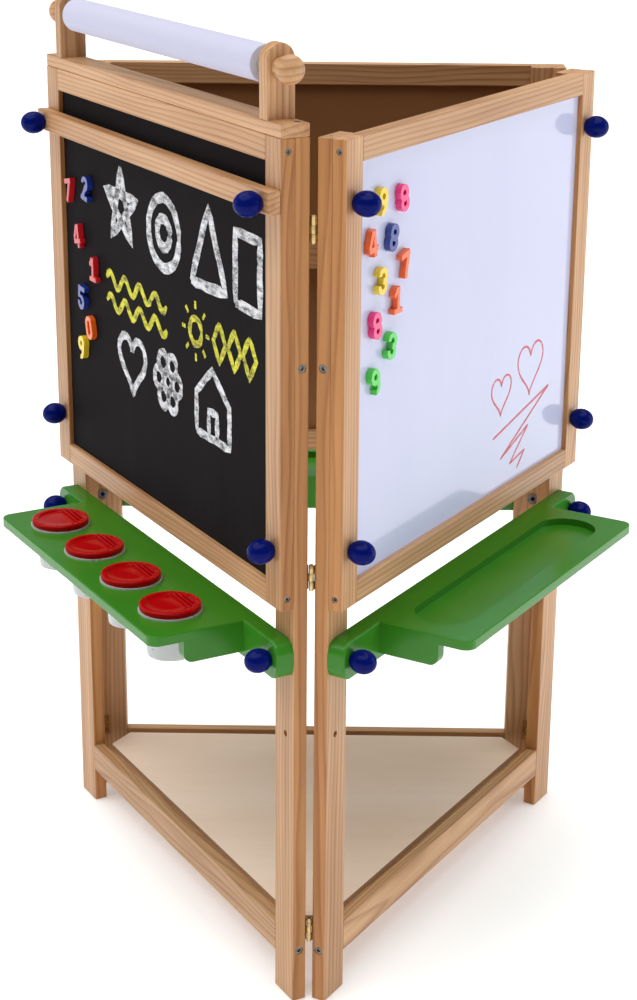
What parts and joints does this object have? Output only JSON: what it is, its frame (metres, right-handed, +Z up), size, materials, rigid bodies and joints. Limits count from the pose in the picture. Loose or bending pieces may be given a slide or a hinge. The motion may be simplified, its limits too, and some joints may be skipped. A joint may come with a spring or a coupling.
{
  "type": "kids easel",
  "caption": "Triangular standing art easel with hinged chalk, dry-erase and rear panels, moulded trays, paint cups, a corner-cut bottom shelf and a paper roll holder on top.",
  "frame": {"origin": "middle of the footprint box, on the floor", "axes": "+Z up along the legs; -Y towards the front corner, where the chalk and white panels meet; +X towards the white panel, parallel to the rear panel"},
  "size_m": [0.8394, 0.7598, 1.156],
  "materials": {
    "pine": "clear satin varnish",
    "plywood": "clear satin varnish",
    "chalkboard": "matte black chalkboard paint",
    "whiteboard": "glossy",
    "hardboard": "smooth painted front, brown back",
    "tray_plastic": "semi-gloss moulded",
    "knob_plastic": "glossy moulded",
    "steel": "zinc plated",
    "brass": "polished",
    "paper": "matte",
    "core_card": "matte",
    "cup_plastic": "translucent white",
    "lid_plastic": "glossy moulded",
    "magnet_plastic": "glossy, each digit in its own bright colour"
  },
  "bodies": {
    "white": {"white_board": "whiteboard", "white_bottom_rail": "pine", "white_brace": "pine", "white_fasteners": "steel", "white_front_leg": "pine", "white_front_stile": "pine", "white_hinge_leaves": "brass", "white_hinge_pins": "brass", "white_knobs": "knob_plastic", "white_lower_rail": "pine", "white_magnets": "magnet_plastic", "white_right_leg": "pine", "white_right_stile": "pine", "white_top_rail": "pine", "white_tray": "tray_plastic"},
    "rear": {"rear_board": "hardboard", "rear_bottom_rail": "pine", "rear_brace": "pine", "rear_fasteners": "steel", "rear_hinge_leaves": "brass", "rear_hinge_pins": "brass", "rear_knobs": "knob_plastic", "rear_left_leg": "pine", "rear_left_stile": "pine", "rear_lower_rail": "pine", "rear_right_leg": "pine", "rear_right_stile": "pine", "rear_top_rail": "pine", "rear_tray": "tray_plastic"},
    "chalk": {"chalk_board": "chalkboard", "chalk_bottom_rail": "pine", "chalk_brace": "pine", "chalk_fasteners": "steel", "chalk_front_leg": "pine", "chalk_front_stile": "pine", "chalk_hinge_leaves": "brass", "chalk_knobs": "knob_plastic", "chalk_left_leg": "pine", "chalk_left_stile": "pine", "chalk_lower_rail": "pine", "chalk_magnets": "magnet_plastic", "chalk_top_rail": "pine", "chalk_tray": "tray_plastic", "paper_guard_bar": "pine", "roll_base": "pine", "roll_bracket_front": "pine", "roll_bracket_left": "pine"},
    "shelf": {"shelf": "plywood"},
    "dowel": {"roll_dowel": "pine", "roll_dowel_knobs": "pine"},
    "roll": {"roll_core": "core_card", "paper_roll": "paper"},
    "cup_1": {"paint_cup_1": "cup_plastic"},
    "lid_1": {"paint_lid_1": "lid_plastic"},
    "cup_2": {"paint_cup_2": "cup_plastic"},
    "lid_2": {"paint_lid_2": "lid_plastic"},
    "cup_3": {"paint_cup_3": "cup_plastic"},
    "lid_3": {"paint_lid_3": "lid_plastic"},
    "cup_4": {"paint_cup_4": "cup_plastic"},
    "lid_4": {"paint_lid_4": "lid_plastic"}
  },
  "joints": [
    {"name": "front_corner_hinge", "type": "hinge", "parent": "white", "child": "chalk", "pos_m": [0, -0.34958, 0.53], "axis": [0, 0, 1], "range_deg": [0, 120]},
    {"name": "right_corner_hinge", "type": "hinge", "parent": "white", "child": "rear", "pos_m": [0.3269, 0.21663, 0.53], "axis": [0, 0, -1], "range_deg": [0, 120]},
    {"name": "shelf_lift", "type": "slide", "parent": "white", "child": "shelf", "axis": [0, 0, 1], "range_m": [0, 0.3]},
    {"name": "dowel_spin", "type": "hinge", "parent": "chalk", "child": "dowel", "pos_m": [-0.18189, -0.07712, 1.13], "axis": [0.5, -0.866, 0], "continuous": true},
    {"name": "roll_spin", "type": "hinge", "parent": "dowel", "child": "roll", "pos_m": [-0.18189, -0.07712, 1.13], "axis": [0.5, -0.866, 0], "continuous": true},
    {"name": "cup_1_lift", "type": "slide", "parent": "chalk", "child": "cup_1", "axis": [0, 0, 1], "range_m": [0, 0.07]},
    {"name": "lid_1_lift", "type": "slide", "parent": "cup_1", "child": "lid_1", "axis": [0, 0, 1], "range_m": [0, 0.03]},
    {"name": "cup_2_lift", "type": "slide", "parent": "chalk", "child": "cup_2", "axis": [0, 0, 1], "range_m": [0, 0.07]},
    {"name": "lid_2_lift", "type": "slide", "parent": "cup_2", "child": "lid_2", "axis": [0, 0, 1], "range_m": [0, 0.03]},
    {"name": "cup_3_lift", "type": "slide", "parent": "chalk", "child": "cup_3", "axis": [0, 0, 1], "range_m": [0, 0.07]},
    {"name": "lid_3_lift", "type": "slide", "parent": "cup_3", "child": "lid_3", "axis": [0, 0, 1], "range_m": [0, 0.03]},
    {"name": "cup_4_lift", "type": "slide", "parent": "chalk", "child": "cup_4", "axis": [0, 0, 1], "range_m": [0, 0.07]},
    {"name": "lid_4_lift", "type": "slide", "parent": "cup_4", "child": "lid_4", "axis": [0, 0, 1], "range_m": [0, 0.03]}
  ]
}
